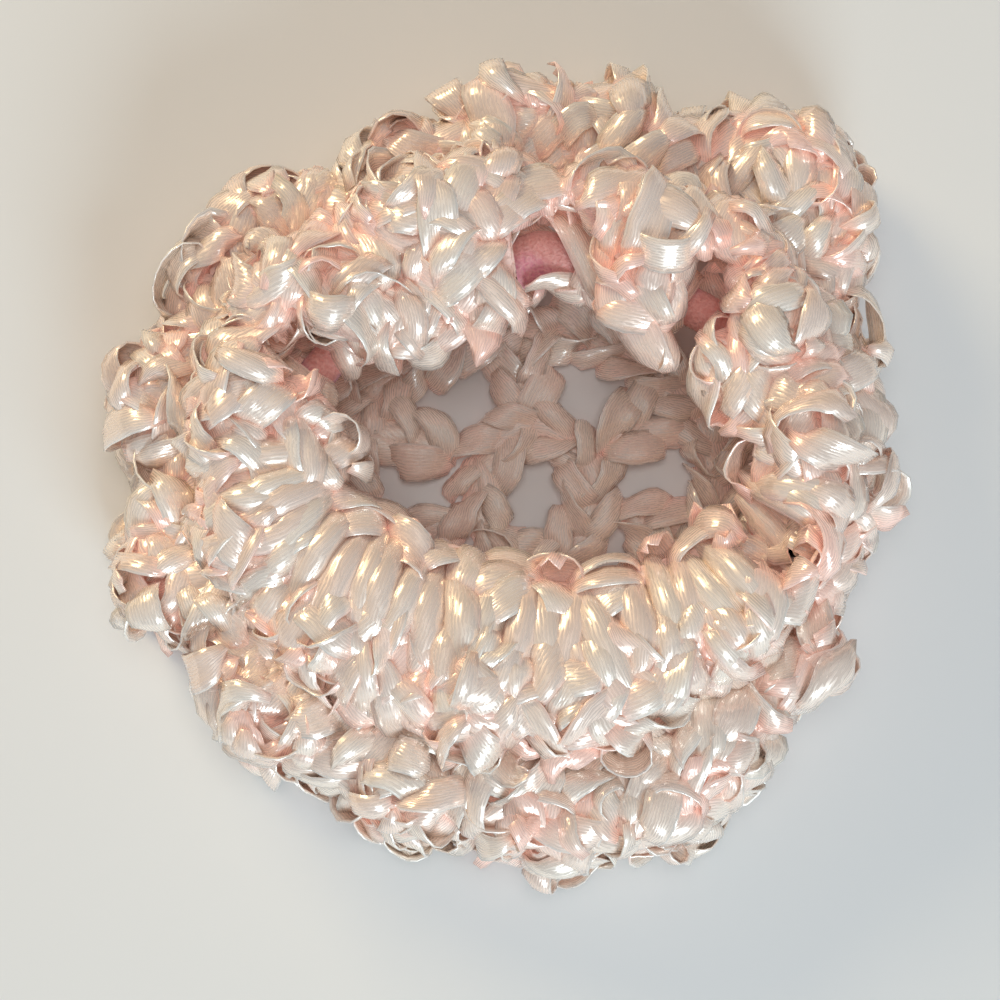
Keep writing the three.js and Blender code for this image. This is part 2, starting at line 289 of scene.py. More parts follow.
class RibbonWork:
    """Stitches of ribbon that are laid one by one and become one mesh."""

    def __init__(self):
        self.bm = bmesh.new()
        self.scrap = bpy.data.meshes.new("scrap")
        self.count = 0

    def lay(
        self, path, half_width, pinch, cup, twist, crumple, frill=0.0, gather=0.0, phase=0.0,
        blunt=2.6, skew=0.0, crease=0.0, root=None,
    ):
        """Lays one length along path(t), t from -1 to 1, which gives a place and the way up there.

        Shares of the half width say how far it narrows to its ends (pinch), cups, creases, waves
        along its edges (frill) and gathers at its ends. The root is a place on what the stitch
        stands on, with the way up from it.
        """
        stops = [2 * i / STEPS_ALONG - 1 for i in range(STEPS_ALONG + 1)]
        spots = [path(t) for t in stops]
        frames = []
        for i, t in enumerate(stops):
            spot, up = spots[i]
            before, after = spots[max(i - 1, 0)][0], spots[min(i + 1, STEPS_ALONG)][0]
            along = (after - before).normalized()
            across = Matrix.Rotation(twist[0] + twist[1] * t, 3, along) @ up.cross(along).normalized()
            full = 1 - abs(t + skew * (1 - t * t)) ** blunt
            half = half_width * (pinch + (1 - pinch) * full)
            frames.append((spot, across, along.cross(across), half, full, t))
        strip = flat_ribbon.copy()
        heights = strip.verts.layers.float["height"]
        for vert in strip.verts:
            u = vert.co.y
            spot, across, out, half, full, t = frames[round((vert.co.x + 1) / 2 * STEPS_ALONG)]
            rise = (cup * u * u + crease * abs(u)) * full + frill * u * math.sin(FRILL_WAVE * t + phase)
            rise += gather * math.cos(3 * math.pi * u) * (1.15 - full)
            co = spot + across * (half * u) + out * (half_width * rise)
            co += noise.noise_vector(co / CRUMPLE_SIZE + Vector((self.count, 0, 0))) * crumple
            # The height over the root, kept on each vertex, sets how much painted shade and painted
            # glow the satin gets there.
            if root:
                vert[heights] = (co - root[0]).dot(root[1]) / MM
            else:
                vert[heights] = CLEAR_OF_ROOTS * (0.2 + full) * (1 - 0.95 * u * u)
            co.z = pressed(co.z)
            vert.co = co
        layer = strip.loops.layers.uv["ribbon"]
        for face in strip.faces:
            for loop in face.loops:
                along_share, across_share = loop[layer].uv
                v = UV_MARGIN + (1 - 2 * UV_MARGIN) * along_share
                loop[layer].uv = (across_share, self.count + v)
        strip.to_mesh(self.scrap)
        self.bm.from_mesh(self.scrap)
        strip.free()
        self.count += 1

    def scrap_of(self):
        """The stitches laid so far, as a mesh of their own."""
        self.bm.to_mesh(self.scrap)
        return self.scrap

    def finish(self, name, material):
        mesh = bpy.data.meshes.new(name)
        self.bm.to_mesh(mesh)
        self.bm.free()
        mesh.shade_smooth()
        mesh.materials.append(material)
        piece = bpy.data.objects.new(name, mesh)
        bpy.context.scene.collection.objects.link(piece)
        thick = piece.modifiers.new("cloth", "SOLIDIFY")
        thick.thickness = RIBBON_THICKNESS
        thick.offset = 0
        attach(piece, "root")
        ribbon_pieces.append(piece)
        return piece


def arch(seat, up, along, chord, rise, opening, sweep=0.0):
    """The path of a stitch that comes up, bends over and goes down again into its root."""
    side = up.cross(along)
    widest = 1 if opening > math.pi / 2 else math.sin(opening)

    def path(t):
        bend = opening * t
        x = chord * math.sin(bend) / widest
        z = rise * (math.cos(bend) - math.cos(opening)) / (1 - math.cos(opening))
        z -= ROOT_SINK * abs(t) ** 5
        out = along * math.sin(bend) + up * math.cos(bend)
        return seat + along * x + up * z + side * (sweep * t * t), out

    return path


# The elastic: a round rubber cord in a cover of pink knitted thread, its ends joined at the back
# to close it to an oval. It shows in the gaps between the stitches of the mouth round, which hold
# it, and is lilac below and at the joint.
elastic_low, elastic_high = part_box("elastic_band")
ELASTIC_RADIUS = 2.6 * MM
ELASTIC_COURSES = 190
ELASTIC_WALES = 20
mouth_centre = (elastic_low + elastic_high) / 2
mouth_half = (elastic_high - elastic_low) / 2 - Vector((1, 1, 1)) * ELASTIC_RADIUS
UP = Vector((0, 0, 1))
JOINT_ANGLE = math.radians(90)
JOINT_SPREAD = 0.2
JOINT_BARE = 0.18
JOINT_OUT = 2.2 * MM
JOINT_THICKER = 0.4
THREAD_SALMON = (0.66, 0.27, 0.24, 1)
THREAD_ROSE = (0.68, 0.24, 0.32, 1)
THREAD_LILAC = (0.7, 0.38, 0.56, 1)
THREAD_FUZZ = (0.88, 0.52, 0.47, 1)


def elastic_place(angle):
    """The middle of the elastic, at an angle round the mouth."""
    x = mouth_centre.x + mouth_half.x * math.cos(angle)
    y = mouth_centre.y + mouth_half.y * math.sin(angle)
    return Vector((x, y, mouth_centre.z + mouth_half.z * math.sin(2 * angle)))


def mouth_angle(place):
    """The angle round the mouth at which a place lies."""
    x = (place.x - mouth_centre.x) / mouth_half.x
    y = (place.y - mouth_centre.y) / mouth_half.y
    return math.atan2(y, x)


def outward_at(place):
    """The level direction away from the mouth's oval."""
    x = (place.x - mouth_centre.x) / mouth_half.x**2
    y = (place.y - mouth_centre.y) / mouth_half.y**2
    return Vector((x, y, 0)).normalized()


def at_joint(angle):
    """How near an angle round the mouth is to the elastic's joined ends: 1 there, 0 far off."""
    return math.exp(-((angle - JOINT_ANGLE) / JOINT_SPREAD) ** 2)


def cord_place(angle):
    """The middle of the cord with its joint, and how much thicker it is there."""
    middle = elastic_place(angle)
    near = at_joint(angle)
    return middle + outward_at(middle) * (JOINT_OUT * near), 1 + JOINT_THICKER * near


thread_material, tree = new_material("covered_elastic")
here = Signal(tree, None)
object_place = here.out(here.node("ShaderNodeTexCoord"), 3)
course = here.out(here.node("ShaderNodeAttribute", {"attribute_name": "course"}), 2)
fuzz = here.cloud(object_place, 2400.0, 3.0)
tint = here.cloud(object_place, 90.0, 1.0)
loops = (course * (2 * math.pi)).sine() * 0.5 + 0.5
level = here.out(here.node("ShaderNodeSeparateXYZ", None, Vector=object_place), 2)
under = 1 - level.ease(mouth_centre.z - 1.4 * MM, mouth_centre.z + 0.7 * MM)
thread = here.blend(tint.ease(0.5, 0.62), THREAD_SALMON, THREAD_ROSE)
thread = here.blend(under * 0.8, thread, THREAD_LILAC)
thread = here.blend(loops * 0.1 + fuzz.ease(0.35, 0.65) * 0.4, thread, THREAD_FUZZ)
stitch_bump = here.node(
    "ShaderNodeBump", None, Strength=0.9, Distance=0.3 * MM, Height=loops * 0.22 + fuzz * 0.9
)
knitted = here.node(
    "ShaderNodeBsdfPrincipled",
    None,
    Base_Color=thread,
    Roughness=0.75,
    Sheen_Weight=0.25,
    Sheen_Roughness=0.5,
    Sheen_Tint=(1.0, 0.75, 0.75, 1),
    Normal=here.out(stitch_bump),
)
here.node("ShaderNodeOutputMaterial", None, Surface=here.out(knitted))

TORUS = 10 * ELASTIC_RADIUS
bm = bmesh.new()
turned = Matrix.Translation((TORUS, 0, 0)) @ Matrix.Rotation(math.pi / 2, 4, "X")
bmesh.ops.create_circle(bm, segments=ELASTIC_WALES, radius=ELASTIC_RADIUS, matrix=turned)
bmesh.ops.spin(
    bm,
    geom=bm.verts[:] + bm.edges[:],
    cent=(0, 0, 0),
    axis=(0, 0, 1),
    angle=2 * math.pi,
    steps=ELASTIC_COURSES,
    use_merge=True,
)
courses = bm.verts.layers.float.new("course")
for vert in bm.verts:
    angle = math.atan2(vert.co.y, vert.co.x)
    out = math.hypot(vert.co.x, vert.co.y) - TORUS
    swell = 1 + 0.09 * noise.noise(Vector((14 * angle, out / MM, vert.co.z / MM)))
    middle, thicker = cord_place(angle)
    swell *= thicker
    vert[courses] = ELASTIC_COURSES / 2 * angle / math.pi
    vert.co = middle + outward_at(middle) * (out * swell) + UP * (vert.co.z * swell)
bmesh.ops.recalc_face_normals(bm, faces=bm.faces)
elastic_mesh = bpy.data.meshes.new("elastic_cord")
bm.to_mesh(elastic_mesh)
bm.free()
elastic_mesh.shade_smooth()
elastic_mesh.materials.append(thread_material)
elastic_cord = bpy.data.objects.new("elastic_cord", elastic_mesh)
bpy.context.scene.collection.objects.link(elastic_cord)
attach(elastic_cord, "root")
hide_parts("elastic_band")


# The mouth round: stitches of satin ribbon worked over the elastic, side by side. Each wraps over
# the cord, crosses its neighbour and so holds the cord in the mouth. The gaps between them are
# those of the CAD piece.
COVER_HEIGHT = 14 * MM
GAP_SPARE = 2
FULL_CLEAR = (5.0 * MM, 8.6 * MM)
FLAT_CLEAR = (3.4 * MM, 6.2 * MM)
LOW_CLEAR = (4.0 * MM, 6.2 * MM)


def merged_copy(node):
    """A copy of a CAD piece with its loose triangles joined."""
    bm = bmesh.new()
    bm.from_mesh(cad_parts[node].data)
    bmesh.ops.remove_doubles(bm, verts=bm.verts, dist=0.01 * MM)
    return bm


mouth_cover = BVHTree.FromBMesh(merged_copy("mouth_round"))
gap_degrees = {
    degrees
    for degrees in range(360)
    if mouth_cover.ray_cast(elastic_place(math.radians(degrees)), UP, COVER_HEIGHT)[0] is None
}


def over_gap(place, reach, joint_reach):
    """Whether a place is over the elastic where it is bare, with a longer reach at the joint."""
    angle = mouth_angle(place)
    near = elastic_place(angle)
    level = Vector((place.x - near.x, place.y - near.y, 0)).length
    at = round(math.degrees(angle))
    bare = any((at + step) % 360 in gap_degrees for step in (-GAP_SPARE, 0, GAP_SPARE))
    return bare and level < reach or abs(angle - JOINT_ANGLE) < JOINT_BARE and level < joint_reach


MOUTH_STITCHES = 38
WRAP_RADIUS = ELASTIC_RADIUS + 1.3 * MM
WRAP_TURN = math.radians(118)
CROSSING_TURN = math.radians(105)
CROSSING_RIBBONS = ((70, 0.14), (75, 0.17), (79, 0.2))
BESIDE_RIBBONS = ((87, 0.13, 60), (80, 0.13, 78))

mouth_work = RibbonWork()
rng = random.Random(21)


def wrap(angle, lean, radius, turn):
    """The path of a ribbon over the elastic, from inside the mouth to outside it."""

    def path(t):
        middle, thicker = cord_place(angle + lean * t)
        outward = outward_at(middle)
        bend = turn * t
        out = outward * math.sin(bend) + UP * math.cos(bend)
        return middle + out * (radius + ELASTIC_RADIUS * (thicker - 1)), out

    return path


for i in range(MOUTH_STITCHES):
    angle = 2 * math.pi * (i + 0.3 * rng.random()) / MOUTH_STITCHES
    if round(math.degrees(angle)) % 360 in gap_degrees or abs(angle - JOINT_ANGLE) < JOINT_BARE:
        continue
    for lean in (-0.07, 0.075):
        mouth_work.lay(
            wrap(angle, lean + rng.gauss(0, 0.02), WRAP_RADIUS + rng.uniform(0, 0.9) * MM, WRAP_TURN),
            rng.uniform(1.9, 2.6) * MM,
            pinch=0.5,
            cup=rng.uniform(-0.7, -0.2),
            frill=rng.gauss(0, 0.12),
            gather=0.12,
            twist=(rng.gauss(0, 0.2), rng.gauss(0, 0.3)),
            phase=rng.uniform(0, 6.28),
            crumple=0.3 * MM,
        )
for degrees, lean in CROSSING_RIBBONS:
    mouth_work.lay(
        wrap(math.radians(degrees), lean, WRAP_RADIUS + 1.2 * MM, CROSSING_TURN),
        rng.uniform(2.2, 2.7) * MM,
        pinch=0.4,
        cup=-0.4,
        frill=rng.gauss(0, 0.12),
        gather=0.15,
        twist=(rng.gauss(0, 0.15), rng.gauss(0, 0.3)),
        crumple=0.3 * MM,
    )


def beside(angle, span, tilt):
    """The path of a ribbon along the inner side of the elastic."""

    def path(t):
        middle, thicker = cord_place(angle - span * t)
        out = UP * math.cos(tilt) - outward_at(middle) * math.sin(tilt)
        return middle + out * (WRAP_RADIUS + ELASTIC_RADIUS * (thicker - 1)), out

    return path


for degrees, span, tilt in BESIDE_RIBBONS:
    mouth_work.lay(
        beside(math.radians(degrees), span, math.radians(tilt)),
        2.3 * MM,
        pinch=0.5,
        cup=-0.3,
        frill=rng.gauss(0, 0.2),
        twist=(rng.gauss(0, 0.15), rng.gauss(0, 0.4)),
        crumple=0.4 * MM,
    )
mouth_ribbon = mouth_work.finish("mouth_round_ribbon", ruffle_satin)
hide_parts("mouth_round")


# The net bag: crochet chains of the same ribbon, in rounds and spokes about the hub, that close
# the snood below. Its rim is worked into the mouth round. A chain is a row of links, each two
# slanted legs over a flatter strand.
net_satin = satin(
    "net_satin",
    pale=(0.95, 0.85, 0.75, 1),
    warm=(0.95, 0.78, 0.68, 1),
    # The rose colour is painted shade and painted glow at the roots of the stitches.
    shade_and_glow_rose=(0.96, 0.62, 0.53, 1),
    roughness=0.2,
)

HUB = Vector((4.99, -2.99, 0)) * MM
HUB_HOLE = (4.6, 6.2)
CHAIN_HALF = 3.4
HEM_CENTRE = Vector((0.19, -0.49, 0)) * MM
HEM_RADIUS = 53 * MM
NET_BULGE = 0.26
NET_SHOULDER = 9 * MM
NET_RING = 0.7
INNER_SPOKE = (0.38, 0.5, 0.62)
OUTER_SPOKE = (0.77, 0.87, 0.97)
FLOOR_INSET = 1.5 * MM
SIDE_INSET = 1.0 * MM
RIM_DROP = 3 * MM
FIRST_SPOKE = math.radians(35)
RING_STEPS = 72
LINK = 4.7 * MM
CHAIN_LIFT = 0.9 * MM
STRAND_DROP = 0.4 * MM
STRAND_CHORD = 3.8 * MM
STRAND_RISE = 1.5 * MM
STRAND_WIDTH = 2.8
LEG_OUT = 1.75
LEG_SLANT = (0.4, 0.7)
LEG_LEAN = (0.2, 0.6)
LEG_CHORD = (3.4, 4.6)
LEG_RISE = (1.6, 2.8)
LEG_WIDTH = (1.7, 2.4)

net_work = RibbonWork()
rng = random.Random(33)


def net_shoulder(angle, inset=0.0):
    """Where the net's floor turns up to its side, at an angle round the mouth."""
    middle = elastic_place(angle)
    calm = HEM_CENTRE + Vector((math.cos(angle), math.sin(angle), 0)) * HEM_RADIUS
    way = Vector((calm.x - middle.x, calm.y - middle.y, 0))
    return Vector((middle.x, middle.y, 0)) + way * NET_BULGE - way.normalized() * inset


def net_floor(angle, share):
    """A place on the net's floor, a share of the way from the hub to its shoulder."""
    return HUB.lerp(net_shoulder(angle, FLOOR_INSET), share)


def net_chain(route, up_at, width=1.0):
    """Works a chain along a route, a list of places close together.

    Its strands and legs have their widths and reaches in mm, and slant and lean in radians.
    """
    lengths = [0.0]
    for before, after in zip(route, route[1:]):
        lengths.append(lengths[-1] + (after - before).length)
    links = max(1, round(lengths[-1] / LINK))
    for k in range(links):
        along_at = (k + 0.5) / links * lengths[-1]
        i = next(n for n in range(1, len(lengths)) if lengths[n] >= along_at)
        share = (along_at - lengths[i - 1]) / (lengths[i] - lengths[i - 1])
        place = route[i - 1].lerp(route[i], share)
        along = (route[i] - route[i - 1]).normalized()
        up = up_at(place)
        across = up.cross(along).normalized()
        up = along.cross(across)
        root = (place + up * STRAND_DROP, up)
        net_work.lay(
            arch(place + up * (CHAIN_LIFT - STRAND_DROP), up, along, STRAND_CHORD, STRAND_RISE, 1.2),
            STRAND_WIDTH * width * MM,
            root=root,
            pinch=0.6,
            cup=-0.35,
            gather=0.3,
            twist=(rng.gauss(0, 0.25), rng.gauss(0, 0.5)),
            crumple=0.6 * MM,
        )
        for side in (-1, 1):
            slant = Matrix.Rotation(side * rng.uniform(*LEG_SLANT), 3, up) @ along
            seat = place + across * (side * LEG_OUT * width * MM)
            seat += up * (CHAIN_LIFT + rng.uniform(-0.2, 0.4) * MM)
            leaned = Matrix.Rotation(-side * rng.uniform(*LEG_LEAN), 3, along) @ up
            chord = rng.uniform(*LEG_CHORD) * MM
            rise = rng.uniform(*LEG_RISE) * MM
            net_work.lay(
                arch(seat, leaned, slant, chord, rise, 1.4),
                rng.uniform(*LEG_WIDTH) * width * MM,
                root=root,
                pinch=rng.uniform(0.3, 0.6),
                cup=rng.uniform(-0.5, 0.2),
                frill=rng.gauss(0, 0.25),
                gather=rng.uniform(0.1, 0.3),
                twist=(rng.gauss(0, 0.4), rng.gauss(0, 0.7)),
                phase=rng.uniform(0, 6.28),
                crumple=rng.uniform(0.3, 0.6) * MM,
            )


def level_up(place):
    return UP


def side_up(place):
    """The way that the net's side faces: inward and up."""
    return (outward_at(place) * -0.8 + UP * 0.5).normalized()


def ring_route(place_at):
    return [place_at(2 * math.pi * i / RING_STEPS) for i in range(RING_STEPS + 1)]


def hub_place(angle):
    """The middle of the chain round the hub's hole; the hole and half the chain are in mm."""
    half_x, half_y = HUB_HOLE[0] + CHAIN_HALF, HUB_HOLE[1] + CHAIN_HALF
    return HUB + Vector((half_x * math.cos(angle), half_y * math.sin(angle), 0)) * MM


def shoulder_place(angle):
    return net_shoulder(angle, SIDE_INSET) + UP * NET_SHOULDER


net_chain(ring_route(hub_place), level_up)
net_chain(ring_route(lambda angle: net_floor(angle, NET_RING)), level_up)
net_chain(ring_route(shoulder_place), side_up)
for k in range(6):
    angle = FIRST_SPOKE + k * math.pi / 3
    net_chain([net_floor(angle, share) for share in INNER_SPOKE], level_up, width=1.1)
for k in range(12):
    angle = FIRST_SPOKE + k * math.pi / 6
    spoke = [net_floor(angle, share) for share in OUTER_SPOKE]
    foot = spoke[-1]
    shoulder = shoulder_place(angle)
    rim = elastic_place(angle) - UP * RIM_DROP
    net_chain(spoke, level_up)
    net_chain([foot, foot.lerp(shoulder, 0.6), shoulder], side_up)
    net_chain([shoulder, shoulder.lerp(rim, 0.5), rim], side_up)
net_ribbon = net_work.finish("net_ribbon_chains", net_satin)
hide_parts("net_bag")


# The backing: the posts of the satin stitches, packed into a dense mass that carries the ruffle's
# curls. It is each tier's CAD piece sunk below its own surface, with a few folds pulled out or in
# a little, and shows only between the curls. It is painted a deeper pink than the ribbon: painted
# shade for the rosy light deep in the crevices.
POST_PAINTED_SHADE_COLOURS = (1.0, 0.66, 0.57, 1), (1.0, 0.8, 0.72, 1)
KNIT_SIZE = 1.2 * MM
THIN_SHARE = 0.4
FOLDS = (
    (5, -3.0, 14),
    (44, 4.0, 9),
    (75, 2.6, 9),
    (116, 2.0, 9),
    (182, -2.2, 8),
    (210, -2.2, 8),
    (285, 2.2, 10),
)


def fold_push(place):
    """How far the folds move a place out; each has an angle, a reach in mm and a width in degrees."""
    off = Vector((place.x - HEM_CENTRE.x, place.y - HEM_CENTRE.y, 0))
    angle = math.degrees(math.atan2(off.y, off.x))
    push = 0
    for at, reach, wide in FOLDS:
        away = (angle - at + 180) % 360 - 180
        push += reach * math.exp(-(away / wide) ** 2)
    return off.normalized() * (push * MM * min(1, off.length / HEM_RADIUS) ** 2)


def smooth(bm, times):
    for _ in range(times):
        bmesh.ops.smooth_vert(
            bm, verts=bm.verts, factor=0.5, use_axis_x=True, use_axis_y=True, use_axis_z=True
        )
    bm.normal_update()


def backing(name, node, sink):
    """A tier's CAD piece, sunk and smoothed into the mass that the stitches stand on."""
    mesh = bpy.data.meshes.new(name)
    bm = merged_copy(node)
    bm.to_mesh(mesh)
    bm.free()
    piece = bpy.data.objects.new(name, mesh)
    bpy.context.scene.collection.objects.link(piece)
    knit = piece.modifiers.new("knit", "REMESH")
    knit.mode = "VOXEL"
    knit.voxel_size = KNIT_SIZE
    depsgraph = bpy.context.evaluated_depsgraph_get()
    shaped = bpy.data.meshes.new_from_object(piece.evaluated_get(depsgraph))
    piece.modifiers.clear()
    bm = bmesh.new()
    bm.from_mesh(shaped)
    smooth(bm, 4)
    walls = BVHTree.FromBMesh(bm)
    for vert in bm.verts:
        through = walls.ray_cast(vert.co - vert.normal * 0.05 * MM, -vert.normal)[3] or 4 * sink
        vert.co -= vert.normal * min(sink, THIN_SHARE * through)
        vert.co += fold_push(vert.co)
    smooth(bm, 3)
    bm.to_mesh(mesh)
    bm.free()
    mesh.shade_smooth()
    mesh.materials.append(backing_material)
    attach(piece, "root")
    return piece


backing_material, tree = new_material("packed_posts")
here = Signal(tree, None)
object_place = here.out(here.node("ShaderNodeTexCoord"), 3)
lumps = here.cloud(object_place, 700.0, 3.0)
posts = here.node(
    "ShaderNodeBsdfPrincipled",
    None,
    # Painted shade: the posts are a deeper pink than the ribbon, mottled at random, for the rosy light
    # between the curls.
    Base_Color=here.blend(lumps, *POST_PAINTED_SHADE_COLOURS),
    Roughness=0.55,
    Normal=here.out(here.node("ShaderNodeBump", None, Strength=1.0, Distance=0.8 * MM, Height=lumps)),
)
here.node("ShaderNodeOutputMaterial", None, Surface=here.out(posts))


# The stitches of the ruffle: satin ribbon pulled into loops that stand on the posts. A flat layer
# covers the posts, and over it fuller stitches gather in clumps, some as curls or round rosettes.
# The stitches' sizes are in mm, each drawn between two values.
CURLY_SHARE = 0.13
CURLY = {"chord": (2.3, 3.2), "rise": (3.4, 4.6), "opening": (2.0, 2.5)}
ARCHED = {"chord": (3.4, 5.8), "rise": (1.8, 3.2), "opening": (1.25, 1.75)}
FULL_WIDTH = (1.9, 2.9)
FULL_SEAT = (-1.5, 0.4)
FLAT_CHORD = (3.8, 5.4)
FLAT_RISE = (1.2, 2.2)
FLAT_WIDTH = (2.4, 3.0)
FLAT_SEAT = (-0.8, 0.0)
FLAT_OPENING = 1.25
STITCH_LIFT = 2.9 * MM
FLAT_HEIGHT = 0.75
FULL_SPREAD = 1.04
FULL_LEAN = 0.34
FLAT_LEAN = 0.2
NOD = 0.22
ROOT_SHARE = 0.35
ROOT_LIFT = 0.3 * MM
FLOW_SIZE = 9 * MM
FLOW_TURN = 4.2
ROSETTE_SHARE = 0.22
ROSETTE_RING = (0.15, 0.85)
ROSETTE_ORDER = 0.6
ROSETTE_FAN = 1.0
CLUMP_FAN = 0.55
CLUMP_REACH = 0.6
FRONT_ROW = 15 * MM
LIP_BARE = 3 * MM
FRONT_FACING = -0.3


def seats_on(piece, spacing, allowed, rng):
    """Places on a backing, evenly spaced but in no order, each with the way up from it."""
    spots = [(v.co.copy(), v.normal.copy()) for v in piece.data.vertices]
    spots = [spot for spot in spots if allowed(*spot)]
    rng.shuffle(spots)
    grid = {}
    kept = []
    for place, up in spots:
        cell = tuple(math.floor(c / spacing) for c in place)
        near = (
            other
            for x in (-1, 0, 1)
            for y in (-1, 0, 1)
            for z in (-1, 0, 1)
            for other in grid.get((cell[0] + x, cell[1] + y, cell[2] + z), ())
        )
        if all((place - other).length >= spacing for other in near):
            grid.setdefault(cell, []).append(place)
            kept.append((place, up))
    return kept


def in_front_row(place, reach=FRONT_ROW):
    """Whether a place is in front of the mouth, less than a reach out from the elastic."""
    outward = outward_at(place)
    away = (place - elastic_place(mouth_angle(place))).dot(outward)
    return outward.y < FRONT_FACING and away < reach


def ruffle(work, piece, spacing, clump_size, allowed, order_at, extra_at, seed):
    """Covers a backing with a flat layer of stitches and then with clumps of fuller ones.

    The order at a place says how strictly its stitches keep to the way across the tier, from 0
    to 1, and the extra how much higher they stand.
    """
    rng = random.Random(seed)
    clumps = seats_on(piece, clump_size, allowed, rng)
    rosettes = {i for i in range(len(clumps)) if rng.random() < ROSETTE_SHARE}
    clump_tree = kdtree.KDTree(len(clumps))
    for i, (place, up) in enumerate(clumps):
        clump_tree.insert(place, i)
    clump_tree.balance()
    for full, step in ((False, spacing), (True, spacing * FULL_SPREAD)):
        for place, up in seats_on(piece, step, allowed, rng):
            centre, index, away = clump_tree.find(place)
            share = min(1.0, away / (CLUMP_REACH * clump_size))
            off = place - centre
            off -= up * off.dot(up)
            outward = outward_at(place)
            radial = outward - up * outward.dot(up)
            if radial.length < 0.25:
                radial = UP - up * up.z
            radial.normalize()
            order = order_at(place)
            flow = FLOW_TURN * noise.noise(place / FLOW_SIZE + Vector((seed, 0, 0)))
            turn = (1 - order) * flow + rng.gauss(0, 0.3 + 0.2 * (1 - order))
            along = Matrix.Rotation(turn, 3, up) @ radial
            fan = CLUMP_FAN
            on_ring = ROSETTE_RING[0] < share < ROSETTE_RING[1]
            if index in rosettes and on_ring and order < ROSETTE_ORDER:
                along = (up.cross(off).normalized() + off.normalized() * rng.gauss(0, 0.2)).normalized()
                fan = ROSETTE_FAN
            if rng.random() < 0.5:
                along = -along
            leaned = (up + off * (fan / (CLUMP_REACH * clump_size))).normalized()
            sideways = rng.gauss(0, FULL_LEAN if full else FLAT_LEAN)
            leaned = Matrix.Rotation(sideways, 3, along) @ leaned
            leaned = (leaned + along * rng.gauss(0, NOD)).normalized()
            along = (along - leaned * along.dot(leaned)).normalized()
            height = 0.0
            if not in_front_row(place):
                height = STITCH_LIFT * (0.8 - share * share) + extra_at(place)
            if full:
                kind = CURLY if rng.random() < CURLY_SHARE else ARCHED
                chord = rng.uniform(*kind["chord"]) * MM
                rise = rng.uniform(*kind["rise"]) * MM
                opening = rng.uniform(*kind["opening"])
                half_width = rng.uniform(*FULL_WIDTH) * MM
                seat = place + up * (height + rng.uniform(*FULL_SEAT) * MM)
            else:
                chord = rng.uniform(*FLAT_CHORD) * MM
                rise = rng.uniform(*FLAT_RISE) * MM
                opening = FLAT_OPENING
                half_width = rng.uniform(*FLAT_WIDTH) * MM
                seat = place + up * (FLAT_HEIGHT * height + rng.uniform(*FLAT_SEAT) * MM)
            if in_front_row(seat, FRONT_ROW if full else LIP_BARE):
                continue
            clear = FULL_CLEAR if full else FLAT_CLEAR
            if any(over_gap(end, *clear) for end in (seat, seat + along * chord, seat - along * chord)):
                continue
            work.lay(
                arch(seat, leaned, along, chord, rise, opening, rng.gauss(0, 0.8) * MM),
                half_width,
                pinch=rng.uniform(0.12, 0.4),
                cup=rng.uniform(-0.45, 0.1),
                frill=rng.gauss(0, 0.22),
                gather=rng.uniform(0.08, 0.3),
                twist=(rng.gauss(0, 0.25), rng.gauss(0, 0.6)),
                phase=rng.uniform(0, 6.28),
                crumple=rng.uniform(0.15, 0.45) * MM,
                blunt=rng.uniform(2.4, 5.0),
                skew=rng.uniform(-0.3, 0.3),
                crease=rng.uniform(-0.45, 0.2),
                root=(place + up * (ROOT_SHARE * max(height, 0) + ROOT_LIFT), up),
            )


# The outer tier of the ruffle: the lower and wider round of satin stitches, on whose folds the
# snood rests. It is worked into the mouth round below the inner tier, and stands fuller where the
# two tiers meet.
OUTER_SINK = 3.6 * MM
OUTER_SPACING = 2.9 * MM
OUTER_CLUMP = 12 * MM
OUTER_ORDER = 0.1
TIER_COVER = 6 * MM
FACES_IN = -0.35
OUTER_UNDERSIDE = -0.6
SEAM_EXTRA = 4.5 * MM
SEAM_REACH = 10 * MM

inner_cover = BVHTree.FromBMesh(merged_copy("inner_ruffle"))
outer_backing = backing("outer_ruffle_posts", "outer_ruffle", OUTER_SINK)


def outer_shows(place, up):
    """Whether a place is on the outside of the tier and not right under the inner one."""
    covered = inner_cover.ray_cast(place + up * 0.5 * MM, UP, TIER_COVER)[0]
    inside = up.dot(outward_at(place)) < FACES_IN
    return up.z > OUTER_UNDERSIDE and covered is None and not inside


def seam_fill(place):
    """How much higher the outer tier's stitches stand where they meet the inner tier."""
    away = inner_cover.find_nearest(place)[3]
    return SEAM_EXTRA * max(0, 1 - away / SEAM_REACH)


def outer_side(left):
    """The test for places on one half of the tier, as each half is a piece of its own."""
    return lambda place, up: outer_shows(place, up) and (place.x < 0) == left


def outer_order(place):
    return OUTER_ORDER


for side, seed in (("left", 11), ("right", 12)):
    work = RibbonWork()
    allowed = outer_side(side == "left")
    ruffle(work, outer_backing, OUTER_SPACING, OUTER_CLUMP, allowed, outer_order, seam_fill, seed)
    ribbon = work.finish(f"outer_ruffle_ribbon_{side}", ruffle_satin)
    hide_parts("outer_ruffle")


# The inner tier of the ruffle: the upper round of the same satin stitches, worked into the mouth
# round, which stands round the mouth and hangs a little over it. In front its stitches turn to lie
# across the lip.
INNER_SINK = 3.2 * MM
INNER_SPACING = 2.8 * MM
INNER_CLUMP = 11 * MM
INNER_UNDERSIDE = -0.5
LIP_WIDTH = 6 * MM
LIP_FADE = 5 * MM

inner_backing = backing("inner_ruffle_posts", "inner_ruffle", INNER_SINK)


def inner_side(left):
    """The test for places on one half of the tier."""
    return lambda place, up: up.z > INNER_UNDERSIDE and (place.x < 0) == left


def lip_order(place):
    """How far the stitches keep to the way across the lip: 1 in front of the mouth, near it."""
    outward = outward_at(place)
    front = min(1, max(0, (-outward.y - 0.1) / 0.5))
    near = elastic_place(mouth_angle(place))
    level = (place - near).dot(outward)
    return 0.1 + 0.8 * front * min(1, max(0, 1 - (level - LIP_WIDTH) / LIP_FADE))


def no_extra(place):
    return 0


